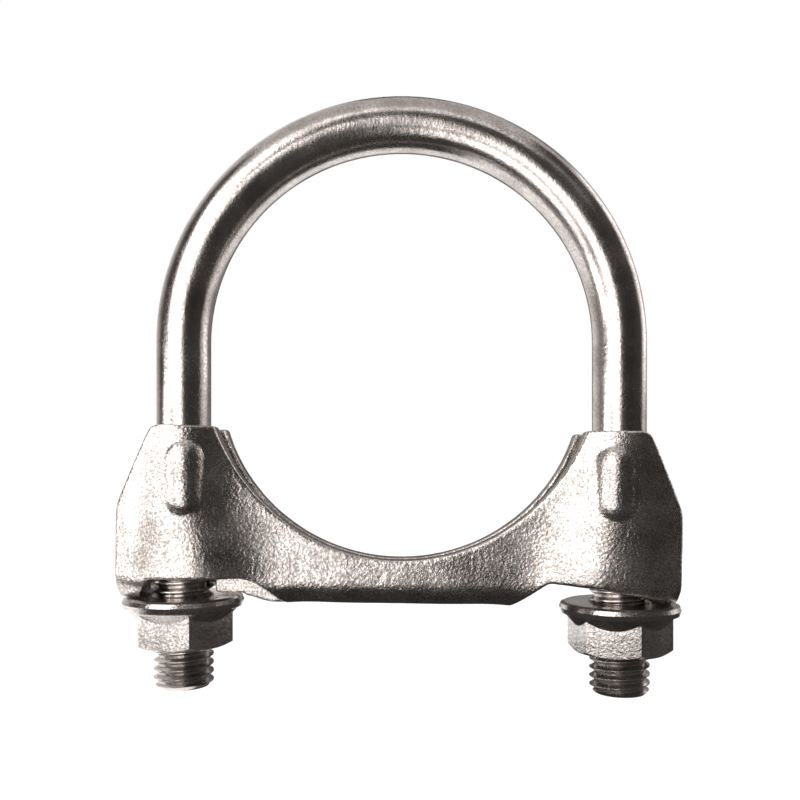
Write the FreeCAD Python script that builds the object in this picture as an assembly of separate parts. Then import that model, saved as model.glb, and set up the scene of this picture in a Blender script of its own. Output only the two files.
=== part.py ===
import FreeCAD, Part
import math
import os
from FreeCAD import Vector

os.makedirs("parts", exist_ok=True)

# Frame: origin at the centre of the pipe that the clamp holds, +Z from the nuts
# towards the bow, +Y along the pipe, +X across the two legs. Millimetres.
Z_AXIS = Vector(0, 0, 1)
ORIGIN = Vector(0, 0, 0)

# Bent rod
ROD_R = 6.25
BEND_INNER_R = 45.0
BEND_R = BEND_INNER_R + ROD_R
LEG_X = BEND_R
BEND_Z = 6.25
LEFT_LEG_END_Z = -74.2
RIGHT_LEG_END_Z = -75.8

# Rolled right-hand thread, M14 x 2
PITCH = 2.0
THREAD_R = 6.9
THREAD_DEPTH = 0.5413 * PITCH
THREAD_ROOT_R = THREAD_R - THREAD_DEPTH
ROOT_FLAT_HALF = PITCH / 8
FLANK_TAN = math.tan(math.radians(30))
THREAD_TOP_Z = -31.0
END_CHAMFER = 1.1
GROOVE_START_Z = -80.0
JOIN_TOLERANCE = 0.001

# Flange nut
LEFT_NUT_BEARING_Z = -52.93
RIGHT_NUT_BEARING_Z = -54.63
NUT_HEIGHT = 11.5
NUT_AF = 21.0
FLANGE_R = 14.0
FLANGE_RIM = 2.9
FLANGE_CONE_DROP = 2.6
RIM_ROUND = 1.3
HEX_CHAMFER_R = 10.4
HEX_CHAMFER_SLOPE = math.tan(math.radians(30))
NUT_BORE_R = 5.95
NUT_GROOVE_R = THREAD_R + 0.15
FLANK_CLEARANCE = 0.14
BORE_CHAMFER_R = 7.3
LEFT_NUT_CORNER_DEG = 20.0
RIGHT_NUT_FACE_DEG = -22.0

# Folded sheet saddle
SHEET = 4.25
PIPE_R = 44.45
EAR_TOP_Z = -14.35
FOLD_R = 5.4
SPINE_Z = -55.0
TAB_Z = -53.7
LEG_HOLE_R = 7.4
WALL_TOP_Z = -5.0
BELOW_Z = -60.0
ASKEW_DEG = 0.8
TIP_X = math.sqrt(PIPE_R ** 2 - EAR_TOP_Z ** 2)

# The saddle's outline outside the cut-outs: distance from the middle, z, corner radius
EAR_OUTLINE = [
    (TIP_X, EAR_TOP_Z, 0), (55.5, EAR_TOP_Z, 3), (64.0, -32.5, 9), (63.9, -47.0, 0), (63.2, BELOW_Z, 0),
]

# The cut-outs through the fold at the legs. The blank was folded a little askew, so
# the four edges differ, and at the back left the wall comes down nearly to the nut.
FULL_CUTOUT = [
    (60.0, BELOW_Z, 0), (58.3, -53.5, 0), (56.1, -48.9, 1.5), (34.3, -48.9, 2), (26.4, -54.9, 0),
    (24.4, BELOW_Z, 0),
]
SLOPED_CUTOUT = [
    (61.0, BELOW_Z, 0), (60.0, -53.4, 0), (55.0, -51.8, 2), (45.0, -49.9, 3), (34.3, -49.1, 2),
    (26.4, -54.9, 0), (24.4, BELOW_Z, 0),
]
LOW_CUTOUT = [
    (60.0, BELOW_Z, 0), (58.3, -53.5, 0), (57.0, -52.3, 0), (44.0, -52.3, 0), (42.4, -53.1, 0),
    (36.4, -53.1, 0), (34.6, -55.4, 0), (34.0, BELOW_Z, 0),
]

# Half depths of the folded sheet at distances along X from the middle: x, half depth
# at the open top, half depth just above the fold
OUTER_STATIONS = [
    (0.0, 5.55, 5.55), (14.0, 5.55, 5.55), (24.0, 5.55, 5.65), (31.0, 5.55, 6.3), (36.0, 5.6, 7.8),
    (40.0, 6.3, 9.6), (43.3, 8.6, 10.9), (47.0, 10.9, 11.6), (51.25, 11.7, 11.8), (55.5, 11.2, 11.6),
    (59.2, 10.0, 10.8), (62.5, 8.4, 9.4), (67.0, 6.6, 7.4),
]
INNER_STATIONS = [
    (0.0, 1.3, 1.3), (14.0, 1.3, 1.3), (26.0, 1.3, 1.3), (32.0, 1.3, 1.9), (37.0, 1.4, 3.4),
    (41.0, 2.1, 5.0), (44.5, 4.6, 6.5), (47.8, 6.8, 7.3), (51.25, 7.4, 7.5), (54.9, 7.0, 7.4),
    (58.2, 5.8, 6.6), (61.5, 4.3, 5.3), (68.0, 2.2, 3.0),
]

# Raised bead on each face of each ear
BEAD_X = 48.7
BEAD_R = 5.2
BEAD_CREST_Y = 13.1
BEAD_TOP_Z = -16.4
BEAD_BOTTOM_Z = -36.0


def solid_of_revolution(points):
    """A full turn about Z of a closed outline given as (radius, z) pairs."""
    corners = [Vector(r, 0, z) for r, z in points]
    outline = Part.makePolygon(corners + corners[:1])
    return Part.Face(outline).revolve(ORIGIN, Z_AXIS, 360)


def cut_thread(body, root_r, root_half, mouth_r, start_z, end_z):
    """Cut a right-hand V groove whose middle crosses the +X side at start_z."""
    mouth_half = root_half + abs(mouth_r - root_r) * FLANK_TAN
    corners = [
        Vector(root_r, 0, -root_half),
        Vector(mouth_r, 0, -mouth_half),
        Vector(mouth_r, 0, mouth_half),
        Vector(root_r, 0, root_half),
    ]
    helix = Part.Wire(Part.makeHelix(PITCH, PITCH, root_r).Edges)
    one_turn = helix.makePipeShell([Part.makePolygon(corners + corners[:1])], True, True)
    z = start_z
    while z < end_z:
        body = body.cut([one_turn.translated(Vector(0, 0, z))], JOIN_TOLERANCE)
        z += PITCH
    return body


def make_leg(end_z):
    leg = solid_of_revolution([
        (0, end_z),
        (THREAD_R - END_CHAMFER, end_z),
        (THREAD_R, end_z + END_CHAMFER),
        (THREAD_R, THREAD_TOP_Z),
        (ROD_R, THREAD_TOP_Z + 2 * (THREAD_R - ROD_R)),
        (ROD_R, BEND_Z),
        (0, BEND_Z),
    ])
    seam_turn = 37
    leg.rotate(ORIGIN, Z_AXIS, seam_turn)
    mouth_r = THREAD_R + 0.2
    return cut_thread(leg, THREAD_ROOT_R, ROOT_FLAT_HALF, mouth_r, GROOVE_START_Z, THREAD_TOP_Z - PITCH)


def make_u_bolt():
    section = Part.Face(Part.Wire(Part.makeCircle(ROD_R, Vector(LEG_X, 0, BEND_Z), Z_AXIS)))
    bow = section.revolve(Vector(0, 0, BEND_Z), Vector(0, -1, 0), 180)
    left = make_leg(LEFT_LEG_END_Z).translated(Vector(-LEG_X, 0, 0))
    right = make_leg(RIGHT_LEG_END_Z).translated(Vector(LEG_X, 0, 0))
    return bow.fuse([left, right]).removeSplitter()


def make_nut(leg_x, bearing_z, face_deg):
    """A hex flange nut on the leg at leg_x, with one flat facing face_deg round from -Y."""
    bottom_z = bearing_z - NUT_HEIGHT
    corner_r = NUT_AF / math.sqrt(3)
    corners = []
    for k in range(6):
        angle = math.radians(face_deg - 90 + 30 + 60 * k)
        corners.append(Vector(corner_r * math.cos(angle), corner_r * math.sin(angle), bottom_z))
    hexagon = Part.Face(Part.makePolygon(corners + corners[:1])).extrude(Vector(0, 0, NUT_HEIGHT - RIM_ROUND))
    far_r = corner_r + 1
    hex_envelope = solid_of_revolution([
        (0, bottom_z),
        (HEX_CHAMFER_R, bottom_z),
        (far_r, bottom_z + (far_r - HEX_CHAMFER_R) * HEX_CHAMFER_SLOPE),
        (far_r, bearing_z),
        (0, bearing_z),
    ])
    rim_bottom_z = bearing_z - FLANGE_RIM
    flange = solid_of_revolution([
        (0, bearing_z),
        (FLANGE_R - RIM_ROUND, bearing_z),
        (FLANGE_R - 0.3 * RIM_ROUND, bearing_z - 0.3 * RIM_ROUND),
        (FLANGE_R, bearing_z - RIM_ROUND),
        (FLANGE_R - 0.3 * RIM_ROUND, rim_bottom_z + 0.3 * RIM_ROUND),
        (FLANGE_R - RIM_ROUND, rim_bottom_z),
        (NUT_AF / 2 - 0.2, rim_bottom_z - FLANGE_CONE_DROP),
        (0, rim_bottom_z - FLANGE_CONE_DROP),
    ])
    body = hexagon.common(hex_envelope).fuse(flange)
    chamfer = BORE_CHAMFER_R - NUT_BORE_R
    over = 1.0
    bore = solid_of_revolution([
        (0, bottom_z - over),
        (BORE_CHAMFER_R + over, bottom_z - over),
        (NUT_BORE_R, bottom_z + chamfer),
        (NUT_BORE_R, bearing_z - chamfer),
        (BORE_CHAMFER_R + over, bearing_z + over),
        (0, bearing_z + over),
    ])
    seam_turn = 71
    bore.rotate(ORIGIN, Z_AXIS, seam_turn)
    body = body.cut(bore)
    bolt_ridge_half = PITCH / 2 - ROOT_FLAT_HALF - (NUT_GROOVE_R - THREAD_ROOT_R) * FLANK_TAN
    groove_half = bolt_ridge_half + FLANK_CLEARANCE
    mouth_r = NUT_BORE_R - 0.22
    start_z = GROOVE_START_Z + PITCH * 4.5
    body = cut_thread(body, NUT_GROOVE_R, groove_half, mouth_r, start_z, bearing_z + PITCH)
    return body.removeSplitter().translated(Vector(leg_x, 0, 0))


def fold_section(x, top_depth, low_depth, bottom_z, corner_r):
    """The rounded U of the folded sheet in the plane at x, closed across its top."""
    corner_z = bottom_z + corner_r
    flat = low_depth - corner_r
    bend = corner_r * math.sqrt(0.5)
    top_front = Vector(x, -top_depth, WALL_TOP_Z)
    front = Vector(x, -low_depth, corner_z)
    front_mid = Vector(x, -flat - bend, corner_z - bend)
    front_low = Vector(x, -flat, bottom_z)
    back_low = Vector(x, flat, bottom_z)
    back_mid = Vector(x, flat + bend, corner_z - bend)
    back = Vector(x, low_depth, corner_z)
    top_back = Vector(x, top_depth, WALL_TOP_Z)
    return Part.Wire([
        Part.makeLine(top_front, front),
        Part.Arc(front, front_mid, front_low).toShape(),
        Part.makeLine(front_low, back_low),
        Part.Arc(back_low, back_mid, back).toShape(),
        Part.makeLine(back, top_back),
        Part.makeLine(top_back, top_front),
    ])


def fold_block(stations, lift, corner_r):
    """A solid lofted through the U sections at the stations, mirrored about X = 0."""
    mirrored = [(-x, top, low) for x, top, low in reversed(stations[1:])]
    sections = []
    for x, top, low in mirrored + stations:
        bottom_z = SPINE_Z if abs(x) < 33 else TAB_Z
        sections.append(fold_section(x, top, low, bottom_z + lift, corner_r))
    return Part.makeLoft(sections, True, False)


def rounded_path(points):
    """Straight edges through (x, z, corner radius) points, with an arc at each rounded corner."""
    edges = []
    start = Vector(points[0][0], 0, points[0][1])
    for before, here, after in zip(points, points[1:], points[2:]):
        corner = Vector(here[0], 0, here[1])
        if here[2] == 0:
            edges.append(Part.makeLine(start, corner))
            start = corner
            continue
        back = (Vector(before[0], 0, before[1]) - corner).normalize()
        ahead = (Vector(after[0], 0, after[1]) - corner).normalize()
        half_angle = back.getAngle(ahead) / 2
        setback = here[2] / math.tan(half_angle)
        middle = (back + ahead).normalize() * (here[2] / math.sin(half_angle) - here[2])
        edges.append(Part.makeLine(start, corner + back * setback))
        edges.append(Part.Arc(corner + back * setback, corner + middle, corner + ahead * setback).toShape())
        start = corner + ahead * setback
    edges.append(Part.makeLine(start, Vector(points[-1][0], 0, points[-1][1])))
    return edges


def side_prism(left_cutout, right_cutout, near_y, far_y):
    """The saddle's outline seen along the pipe, as a prism from near_y to far_y."""
    right = EAR_OUTLINE + right_cutout
    left = [(-x, z, r) for x, z, r in reversed(EAR_OUTLINE + left_cutout)]
    low = Vector(0, 0, -PIPE_R)
    arc = Part.Arc(Vector(-TIP_X, 0, EAR_TOP_Z), low, Vector(TIP_X, 0, EAR_TOP_Z)).toShape()
    face = Part.Face(Part.Wire([arc] + rounded_path(right + left)))
    return face.translated(Vector(0, near_y, 0)).extrude(Vector(0, far_y - near_y, 0))


def make_bead(x, side):
    """A round-ended bar standing out of the ear's face; side is -1 for the front."""
    y = side * (BEAD_CREST_Y - BEAD_R)
    low = Vector(x, y, BEAD_BOTTOM_Z + BEAD_R)
    high = Vector(x, y, BEAD_TOP_Z - BEAD_R)
    bar = Part.makeCylinder(BEAD_R, high.z - low.z, low, Z_AXIS)
    return bar.fuse([Part.makeSphere(BEAD_R, low), Part.makeSphere(BEAD_R, high)])


def make_saddle():
    body = fold_block(OUTER_STATIONS, 0.0, FOLD_R)
    for x in (-BEAD_X, BEAD_X):
        for side in (-1, 1):
            body = body.fuse(make_bead(x, side))
    outer_y = 20
    front = side_prism(FULL_CUTOUT, SLOPED_CUTOUT, -outer_y, 0)
    back = side_prism(LOW_CUTOUT, FULL_CUTOUT, 0, outer_y)
    body = body.common(front.fuse(back))
    body = body.cut(fold_block(INNER_STATIONS, SHEET, FOLD_R - SHEET))
    body.rotate(ORIGIN, Vector(0, 1, 0), ASKEW_DEG)
    for x in (-LEG_X, LEG_X):
        body = body.cut(Part.makeCylinder(LEG_HOLE_R, 60, Vector(x, 0, BELOW_Z), Z_AXIS))
    return body


nodes = {
    "u_bolt": make_u_bolt(),
    "saddle": make_saddle(),
    "nut_left": make_nut(-LEG_X, LEFT_NUT_BEARING_Z, LEFT_NUT_CORNER_DEG + 30),
    "nut_right": make_nut(LEG_X, RIGHT_NUT_BEARING_Z, RIGHT_NUT_FACE_DEG),
}
for name, shape in nodes.items():
    box = shape.optimalBoundingBox(False)
    print(name, shape.isValid(), len(shape.Solids), round(shape.Volume, 1), len(shape.Faces),
          [round(v, 2) for v in (box.XMin, box.XMax, box.YMin, box.YMax, box.ZMin, box.ZMax)])
    shape.exportStep("parts/" + name + ".step")
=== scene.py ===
import math

import bpy
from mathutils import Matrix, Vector


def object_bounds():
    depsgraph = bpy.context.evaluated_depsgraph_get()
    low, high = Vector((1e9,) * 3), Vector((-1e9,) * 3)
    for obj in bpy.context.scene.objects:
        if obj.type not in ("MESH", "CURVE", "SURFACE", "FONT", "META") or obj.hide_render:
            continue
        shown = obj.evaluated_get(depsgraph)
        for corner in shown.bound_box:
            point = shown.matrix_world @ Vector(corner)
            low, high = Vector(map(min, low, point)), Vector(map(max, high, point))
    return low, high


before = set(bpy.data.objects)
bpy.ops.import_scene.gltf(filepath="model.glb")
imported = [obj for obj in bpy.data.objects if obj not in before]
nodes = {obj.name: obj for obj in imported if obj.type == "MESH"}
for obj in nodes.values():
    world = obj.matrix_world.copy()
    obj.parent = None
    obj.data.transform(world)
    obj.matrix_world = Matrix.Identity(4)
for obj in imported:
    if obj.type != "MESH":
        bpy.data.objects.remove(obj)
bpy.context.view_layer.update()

MM = 0.001
WARM_WHITE = (1.0, 0.97, 0.95)
WALL_WHITE = (1.0, 0.96, 0.94)


# ---------------------------------------------------------------- materials

class Shader:
    """A small helper for building one node material."""

    def __init__(self, name):
        self.material = bpy.data.materials.new(name)
        self.material.use_nodes = True
        self.tree = self.material.node_tree
        self.tree.nodes.clear()
        self.output = self.add("ShaderNodeOutputMaterial")
        self.principled = self.add("ShaderNodeBsdfPrincipled")
        self.link(self.principled, "BSDF", self.output, "Surface")

    def add(self, kind, **settings):
        node = self.tree.nodes.new(kind)
        for key, value in settings.items():
            setattr(node, key, value)
        return node

    def link(self, source, output, target, socket):
        self.tree.links.new(source.outputs[output], target.inputs[socket])

    def coordinates(self, scale=(1, 1, 1)):
        """Object coordinates, which are metres in the shared frame."""
        coords = self.add("ShaderNodeTexCoord")
        mapping = self.add("ShaderNodeMapping")
        mapping.inputs["Scale"].default_value = scale
        self.link(coords, "Object", mapping, "Vector")
        return mapping

    def noise(self, vector, scale, detail=3.0, roughness=0.55):
        node = self.add("ShaderNodeTexNoise")
        node.inputs["Scale"].default_value = scale
        node.inputs["Detail"].default_value = detail
        node.inputs["Roughness"].default_value = roughness
        self.link(vector, "Vector", node, "Vector")
        return node

    def ramp(self, source, output, stops):
        node = self.add("ShaderNodeValToRGB")
        band = node.color_ramp
        band.elements[0].position = stops[0][0]
        band.elements[0].color = stops[0][1]
        band.elements[1].position = stops[-1][0]
        band.elements[1].color = stops[-1][1]
        for position, color in stops[1:-1]:
            element = band.elements.new(position)
            element.color = color
        self.link(source, output, node, "Fac")
        return node

    def remap(self, source, output, low, high, to_low, to_high):
        node = self.add("ShaderNodeMapRange")
        node.inputs["From Min"].default_value = low
        node.inputs["From Max"].default_value = high
        node.inputs["To Min"].default_value = to_low
        node.inputs["To Max"].default_value = to_high
        self.link(source, output, node, "Value")
        return node

    def math(self, operation, first, second):
        """first and second are (node, output) pairs or plain numbers."""
        node = self.add("ShaderNodeMath", operation=operation)
        for index, value in enumerate((first, second)):
            if isinstance(value, tuple):
                self.tree.links.new(value[0].outputs[value[1]], node.inputs[index])
            else:
                node.inputs[index].default_value = value
        return node

    def mix(self, factor, first, second, blend="MIX"):
        """Mix two colours, each a (node, output) pair or an RGBA tuple."""
        node = self.add("ShaderNodeMix", data_type="RGBA", blend_type=blend)
        color_inputs = [socket for socket in node.inputs if socket.type == "RGBA"]
        if isinstance(factor, tuple):
            self.tree.links.new(factor[0].outputs[factor[1]], node.inputs[0])
        else:
            node.inputs[0].default_value = factor
        for socket, value in zip(color_inputs, (first, second)):
            if isinstance(value[0], bpy.types.Node):
                self.tree.links.new(value[0].outputs[value[1]], socket)
            else:
                socket.default_value = value
        return node

    def bump(self, height, output, strength, distance, normal=None):
        node = self.add("ShaderNodeBump")
        node.inputs["Strength"].default_value = strength
        node.inputs["Distance"].default_value = distance
        self.link(height, output, node, "Height")
        if normal is not None:
            self.link(normal, "Normal", node, "Normal")
        return node


def color_of(node):
    """A node and the index of its colour output, for a ramp or a Mix node set to RGBA."""
    index = [i for i, socket in enumerate(node.outputs) if socket.type == "RGBA"][0]
    return (node, index)


def plated_steel(name, tint, dark, rough, fleck, speckle, speckle_scale, grain_scale, grain, wave):
    """Bright zinc plating: cloudy tint, a fine speckle, grain, wear on edges, scuffs and painted
    shade darkening the crevices.

    fleck is how far the grains differ in tone. speckle is the depth of the fine pitting in
    metres, grain that of the drawn lines,
    wave that of the slow undulation that breaks up reflections.
    """
    s = Shader(name)
    s.principled.inputs["Metallic"].default_value = 1.0
    plain = s.coordinates()
    drawn = s.coordinates(grain_scale)

    cloud = s.noise(plain, 140, 4)
    clouds = s.ramp(cloud, "Fac", [(0.36, dark), (0.62, tint)])
    fine = s.noise(plain, speckle_scale, 3, 0.7)
    flecks = s.ramp(fine, "Fac", [(0.38, (0.35, 0.34, 0.33, 1)), (0.50, (0.92, 0.91, 0.90, 1)),
                                  (0.62, (1.45, 1.43, 1.41, 1))])
    flecked = s.mix(fleck, color_of(clouds), color_of(flecks), "MULTIPLY")

    geometry = s.add("ShaderNodeNewGeometry")
    edge = s.remap(geometry, "Pointiness", 0.52, 0.62, 0.0, 0.55)
    worn = s.mix((edge, "Result"), color_of(flecked), (0.86, 0.85, 0.84, 1))
    # Painted shade: concave places such as thread roots and folds are darkened in the base colour.
    crevice_shade_mask = s.remap(geometry, "Pointiness", 0.40, 0.49, 0.55, 0.0)
    crevice_shaded = s.mix((crevice_shade_mask, "Result"), color_of(worn), (0.10, 0.09, 0.085, 1))
    s.link(*color_of(crevice_shaded), s.principled, "Base Color")

    patch = s.noise(plain, 90, 3)
    base = s.remap(patch, "Fac", 0.3, 0.7, rough * 0.8, rough * 1.25)
    micro = s.remap(fine, "Fac", 0.35, 0.7, 0.09, -0.06)
    total = s.math("ADD", (base, "Result"), (micro, "Result"))
    total.use_clamp = True
    s.link(total, "Value", s.principled, "Roughness")

    slow = s.noise(plain, 110, 2)
    lines = s.noise(drawn, 1.0, 2, 0.6)
    coarse = s.noise(plain, speckle_scale * 0.7, 2)
    first = s.bump(slow, "Fac", 1.0, wave)
    second = s.bump(lines, "Fac", 1.0, grain, first)
    third = s.bump(coarse, "Fac", 1.0, speckle, second)
    fourth = s.bump(fine, "Fac", 1.0, speckle * 0.6, third)
    s.link(fourth, "Normal", s.principled, "Normal")
    return s.material


bolt_metal = plated_steel(
    "bolt_plating", (0.68, 0.635, 0.61, 1), (0.50, 0.46, 0.44, 1), 0.18, 0.35,
    speckle=0.00003, speckle_scale=1900, grain_scale=(2600, 2600, 90), grain=0.000012, wave=0.00012)
saddle_metal = plated_steel(
    "saddle_plating", (0.72, 0.675, 0.655, 1), (0.48, 0.445, 0.425, 1), 0.22, 0.75,
    speckle=0.00012, speckle_scale=1900, grain_scale=(1100, 1500, 1500), grain=0.000012, wave=0.00016)
nut_metal = plated_steel(
    "nut_plating", (0.70, 0.665, 0.645, 1), (0.52, 0.485, 0.465, 1), 0.17, 0.5,
    speckle=0.00006, speckle_scale=1800, grain_scale=(1400, 1400, 300), grain=0.000012, wave=0.00010)


# ---------------------------------------------------------------- object

def set_material(obj, material):
    obj.data.materials.clear()
    obj.data.materials.append(material)


def soften(obj, voxel, passes):
    """Remesh finely and relax, which rounds sheared and folded edges as pressing does."""
    remesh = obj.modifiers.new("remesh", "REMESH")
    remesh.mode = "VOXEL"
    remesh.voxel_size = voxel
    remesh.use_smooth_shade = True
    relax = obj.modifiers.new("relax", "SMOOTH")
    relax.factor = 0.5
    relax.iterations = passes


for name, material in (("u_bolt", bolt_metal), ("saddle", saddle_metal),
                       ("nut_left", nut_metal), ("nut_right", nut_metal)):
    set_material(nodes[name], material)
soften(nodes["saddle"], 0.35 * MM, 9)


# ---------------------------------------------------------------- stage

def paper_material(name, color, rough, glow=0.0):
    s = Shader(name)
    plain = s.coordinates()
    mottle = s.noise(plain, 60, 4)
    tone = s.ramp(mottle, "Fac", [(0.3, tuple(c * 0.985 for c in color[:3]) + (1,)), (0.7, color)])
    s.link(tone, "Color", s.principled, "Base Color")
    s.principled.inputs["Roughness"].default_value = rough
    s.principled.inputs["Emission Color"].default_value = (1, 1, 1, 1)
    s.principled.inputs["Emission Strength"].default_value = glow
    tooth = s.noise(plain, 2500, 2)
    relief = s.bump(tooth, "Fac", 0.3, 0.00002)
    s.link(relief, "Normal", s.principled, "Normal")
    return s.material


def panel(name, corners, material):
    mesh = bpy.data.meshes.new(name)
    mesh.from_pydata([Vector(c) for c in corners], [], [(0, 1, 2, 3)])
    mesh.materials.append(material)
    obj = bpy.data.objects.new(name, mesh)
    bpy.context.scene.collection.objects.link(obj)
    return obj


white = paper_material("white_paper", (0.93, 0.93, 0.93, 1), 0.9, 0.12)
low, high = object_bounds()
floor_z = low[2] - 0.014
panel("floor", [(-3, -3, floor_z), (3, -3, floor_z), (3, 3, floor_z), (-3, 3, floor_z)], white)


def reflections_only(obj):
    """Hide a studio panel from the camera and from soft light, so only gloss shows it."""
    obj.visible_camera = False
    obj.visible_diffuse = False
    obj.visible_shadow = False


def flag(name, corners, tone):
    """A dark studio flag that shades the metal but not the floor."""
    cloth = paper_material(name + "_cloth", (tone, tone * 0.94, tone * 0.90, 1), 1.0)
    reflections_only(panel(name, corners, cloth))


def card(name, corners, radiance, color):
    """A bright bounce card."""
    s = Shader(name + "_glow")
    s.principled.inputs["Base Color"].default_value = (0, 0, 0, 1)
    s.principled.inputs["Emission Color"].default_value = color + (1,)
    s.principled.inputs["Emission Strength"].default_value = radiance
    reflections_only(panel(name, corners, s.material))


def upright(x0, y0, x1, y1, bottom, top):
    return [(x0, y0, bottom), (x1, y1, bottom), (x1, y1, top), (x0, y0, top)]


def level(x0, y0, x1, y1, z):
    return [(x0, y0, z), (x1, y0, z), (x1, y1, z), (x0, y1, z)]


# Flags darken what the metal mirrors, and the card lights the rod from below on the left.
flag("front_flag", upright(-1.7, -0.60, 0.6, -0.60, -0.3, 0.55), 0.02)
flag("right_flag", upright(0.6, -0.60, 0.6, 0.05, -0.3, 1.1), 0.02)
flag("left_flag", upright(-0.6, -0.28, -0.6, 0.10, -0.3, 0.9), 0.03)
flag("table_flag", level(-1.0, -0.60, 0.0, -0.02, floor_z + 0.002), 0.02)
flag("table_flag_right", level(0.0, -0.60, 0.8, 0.10, floor_z + 0.002), 0.02)
flag("table_flag_middle", level(-0.045, -0.02, 0.0, 0.10, floor_z + 0.002), 0.02)
flag("back_flag", upright(-0.12, 0.60, 0.12, 0.60, -0.3, 1.0), 0.08)
card("table_card", level(-0.26, -0.26, -0.016, -0.105, floor_z + 0.003), 2.6, WARM_WHITE)

# A ring of cards whose brightness swells and fades three times round, so that the round
# rod shows its shape from every side.
SURROUND_R = 1.3
SURROUND_SIDES = 36
SWELLS = 3
STUDIO_BOTTOM = -0.3
STUDIO_TOP = 1.6
for k in range(SURROUND_SIDES):
    a0 = 2 * math.pi * k / SURROUND_SIDES
    a1 = 2 * math.pi * (k + 1) / SURROUND_SIDES
    side = upright(SURROUND_R * math.cos(a0), SURROUND_R * math.sin(a0),
                   SURROUND_R * math.cos(a1), SURROUND_R * math.sin(a1), STUDIO_BOTTOM, STUDIO_TOP)
    card(f"surround_{k}", side, 0.55 + 0.35 * math.cos(SWELLS * (a0 + a1) / 2), WALL_WHITE)
card("ceiling", level(-1.4, -1.4, 1.4, 1.4, STUDIO_TOP), 0.62, WALL_WHITE)


def softbox(name, place, target, size, radiance, color=(1, 1, 1)):
    """A rectangular light of a stated brightness, aimed at a point."""
    data = bpy.data.lights.new(name, "AREA")
    data.shape = "RECTANGLE"
    data.size, data.size_y = size
    data.energy = radiance * math.pi * size[0] * size[1]
    data.color = color
    obj = bpy.data.objects.new(name, data)
    obj.location = place
    obj.rotation_euler = (Vector(target) - Vector(place)).to_track_quat("-Z", "Y").to_euler()
    obj.visible_camera = False
    bpy.context.scene.collection.objects.link(obj)


softbox("key", (-0.24, -0.32, 0.19), (0, 0, 0.19), (0.30, 0.34), 3.2, WARM_WHITE)
softbox("low_left", (-0.44, -0.20, -0.03), (-0.05, 0, -0.03), (0.20, 0.16), 5.0, WARM_WHITE)
softbox("front", (-0.11, -0.36, 0.03), (-0.11, 0, 0.03), (0.20, 0.23), 2.3, WARM_WHITE)
softbox("top", (-0.02, -0.36, 0.42), (0, 0, 0.05), (0.46, 0.13), 0.8, WARM_WHITE)
softbox("rim", (0.55, 0.30, 0.30), (0, 0, 0), (0.30, 0.50), 1.2)

world = bpy.data.worlds.new("studio")
bpy.context.scene.world = world
world.use_nodes = True
background = world.node_tree.nodes["Background"]
background.inputs["Color"].default_value = (1, 1, 1, 1)
background.inputs["Strength"].default_value = 1.0
world.cycles.sampling_method = "NONE"


# ---------------------------------------------------------------- camera

CAMERA_DISTANCE = 0.190
CAMERA_Z = -0.026

camera_data = bpy.data.cameras.new("camera")
camera_data.sensor_width = 36
camera_data.lens = 36.3
camera_data.shift_x = -0.0020
camera_data.shift_y = 0.10
camera_data.clip_start = 0.005
camera = bpy.data.objects.new("camera", camera_data)
camera.location = (0, -CAMERA_DISTANCE, CAMERA_Z)
camera.rotation_euler = (math.radians(90), 0, 0)
bpy.context.scene.collection.objects.link(camera)
bpy.context.scene.camera = camera
bpy.context.scene.view_settings.view_transform = "Standard"
